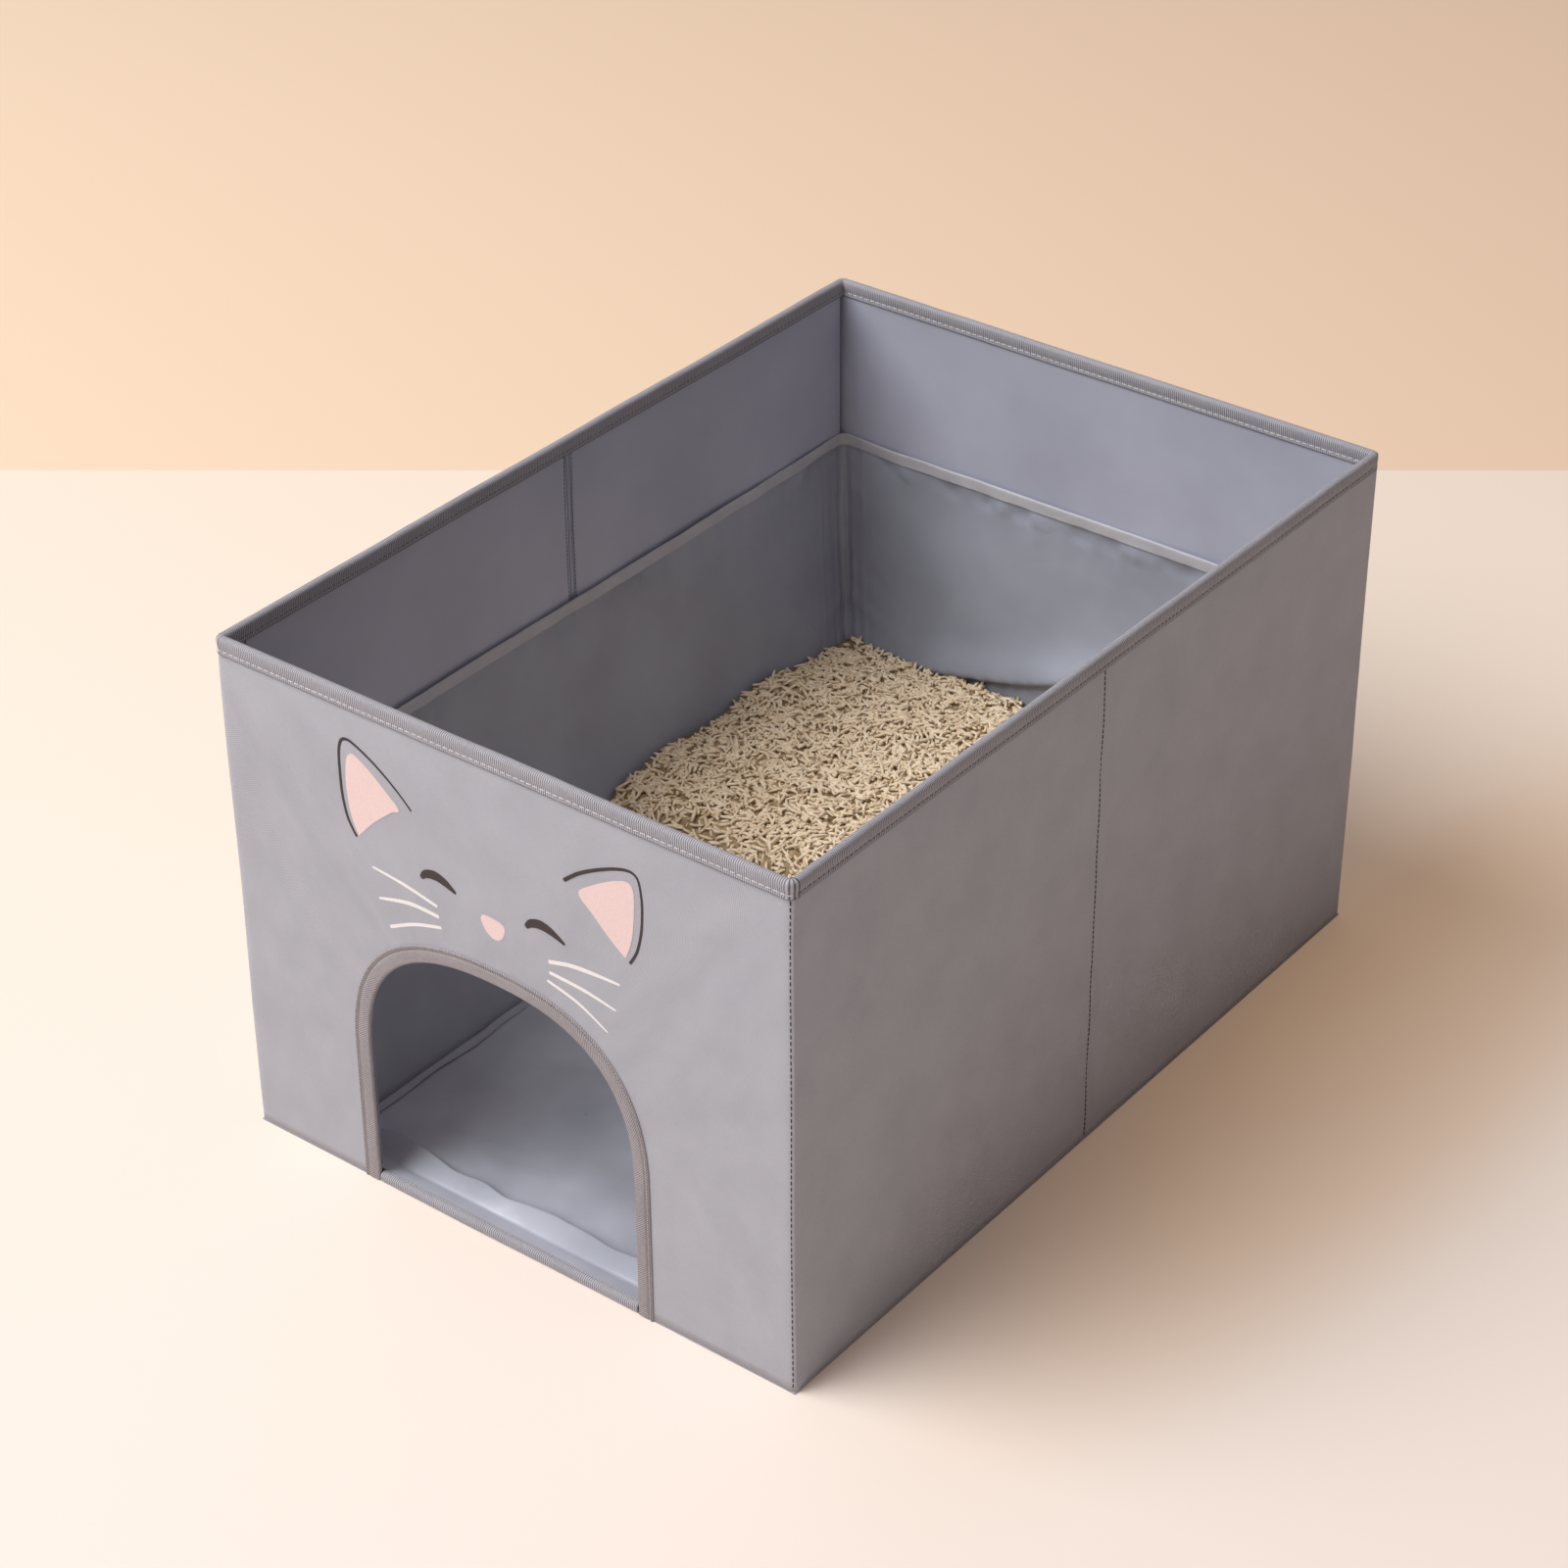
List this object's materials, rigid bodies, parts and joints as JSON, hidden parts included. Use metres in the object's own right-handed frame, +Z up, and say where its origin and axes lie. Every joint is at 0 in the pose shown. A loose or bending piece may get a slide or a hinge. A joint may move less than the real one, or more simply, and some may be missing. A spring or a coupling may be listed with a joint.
{
  "type": "foldable litter box",
  "caption": "Open-topped folding cat litter box of cloth-covered boards, with an arched cat door in front and a hanging waterproof liner over a bed of pellets.",
  "frame": {"origin": "middle of the base, on the surface that the box stands on", "axes": "+Z up, -Y towards the front wall with the cat door, +X to the right as seen from the door"},
  "size_m": [0.42, 0.6, 0.35],
  "materials": {
    "grey_cloth": "matt woven cloth, light grey",
    "base_cloth": "matt woven cloth under the box",
    "woven_tape": "ribbed woven binding tape, mid grey",
    "stiff_board": "plain stiff plastic board",
    "liner_film": "coated waterproof cloth, soft sheen",
    "satin_tape": "smooth binding tape with a soft sheen",
    "pellets": "dry pressed plant-fibre pellets"
  },
  "bodies": {
    "rear": {"rear_cover": "grey_cloth", "rear_board": "stiff_board", "rear_rim_tape": "woven_tape", "rear_left_corner_strip": "grey_cloth", "rear_right_corner_strip": "grey_cloth", "floor_cloth": "base_cloth", "liner_floor": "liner_film", "liner_rear": "liner_film", "liner_rear_tape": "satin_tape", "litter_bed": "pellets"},
    "front": {"front_cover": "grey_cloth", "front_board": "stiff_board", "front_rim_tape": "woven_tape", "front_left_corner_strip": "grey_cloth", "front_right_corner_strip": "grey_cloth", "door_tape": "woven_tape", "sill_tape": "woven_tape", "liner_front": "liner_film", "liner_front_tape": "satin_tape"},
    "left_rear": {"left_rear_cover": "grey_cloth", "left_rear_board": "stiff_board", "left_rear_rim_tape": "woven_tape", "liner_left_rear": "liner_film", "liner_left_rear_tape": "satin_tape"},
    "left_front": {"left_front_cover": "grey_cloth", "left_front_board": "stiff_board", "left_front_rim_tape": "woven_tape", "liner_left_front": "liner_film", "liner_left_front_tape": "satin_tape"},
    "right_rear": {"right_rear_cover": "grey_cloth", "right_rear_board": "stiff_board", "right_rear_rim_tape": "woven_tape", "liner_right_rear": "liner_film", "liner_right_rear_tape": "satin_tape"},
    "right_front": {"right_front_cover": "grey_cloth", "right_front_board": "stiff_board", "right_front_rim_tape": "woven_tape", "liner_right_front": "liner_film", "liner_right_front_tape": "satin_tape"}
  },
  "joints": [
    {"name": "left_rear_fold", "type": "hinge", "parent": "rear", "child": "left_rear", "pos_m": [-0.2049, 0.2919, 0], "axis": [0, 0, 1], "range_deg": [0, 90], "deforming": ["floor_cloth", "liner_floor", "liner_rear", "liner_rear_tape", "litter_bed", "liner_left_rear", "liner_left_rear_tape"]},
    {"name": "left_middle_fold", "type": "hinge", "parent": "left_rear", "child": "left_front", "pos_m": [-0.2103, 0.0066, 0], "axis": [0, 0, 1], "range_deg": [-180, 0], "deforming": ["liner_left_front", "liner_left_front_tape"]},
    {"name": "left_front_fold", "type": "hinge", "parent": "left_front", "child": "front", "pos_m": [-0.2049, -0.2787, 0], "axis": [0, 0, 1], "range_deg": [0, 90], "deforming": ["liner_front", "liner_front_tape"]},
    {"name": "right_rear_fold", "type": "hinge", "parent": "rear", "child": "right_rear", "pos_m": [0.2049, 0.2787, 0], "axis": [0, 0, 1], "range_deg": [-90, 0], "deforming": ["liner_right_rear", "liner_right_rear_tape", "right_rear_cover", "right_rear_board", "right_rear_rim_tape"]},
    {"name": "right_middle_fold", "type": "hinge", "parent": "right_rear", "child": "right_front", "pos_m": [0.2103, -0.0066, 0], "axis": [0, 0, 1], "range_deg": [0, 180], "deforming": ["liner_right_front", "liner_right_front_tape", "right_front_cover", "right_front_board", "right_front_rim_tape"]}
  ],
  "couplings": [
    {"joint": "left_middle_fold", "follows": "left_rear_fold", "ratio": -2},
    {"joint": "left_front_fold", "follows": "left_rear_fold", "ratio": 1},
    {"joint": "right_rear_fold", "follows": "left_rear_fold", "ratio": -1},
    {"joint": "right_middle_fold", "follows": "left_rear_fold", "ratio": 2}
  ]
}
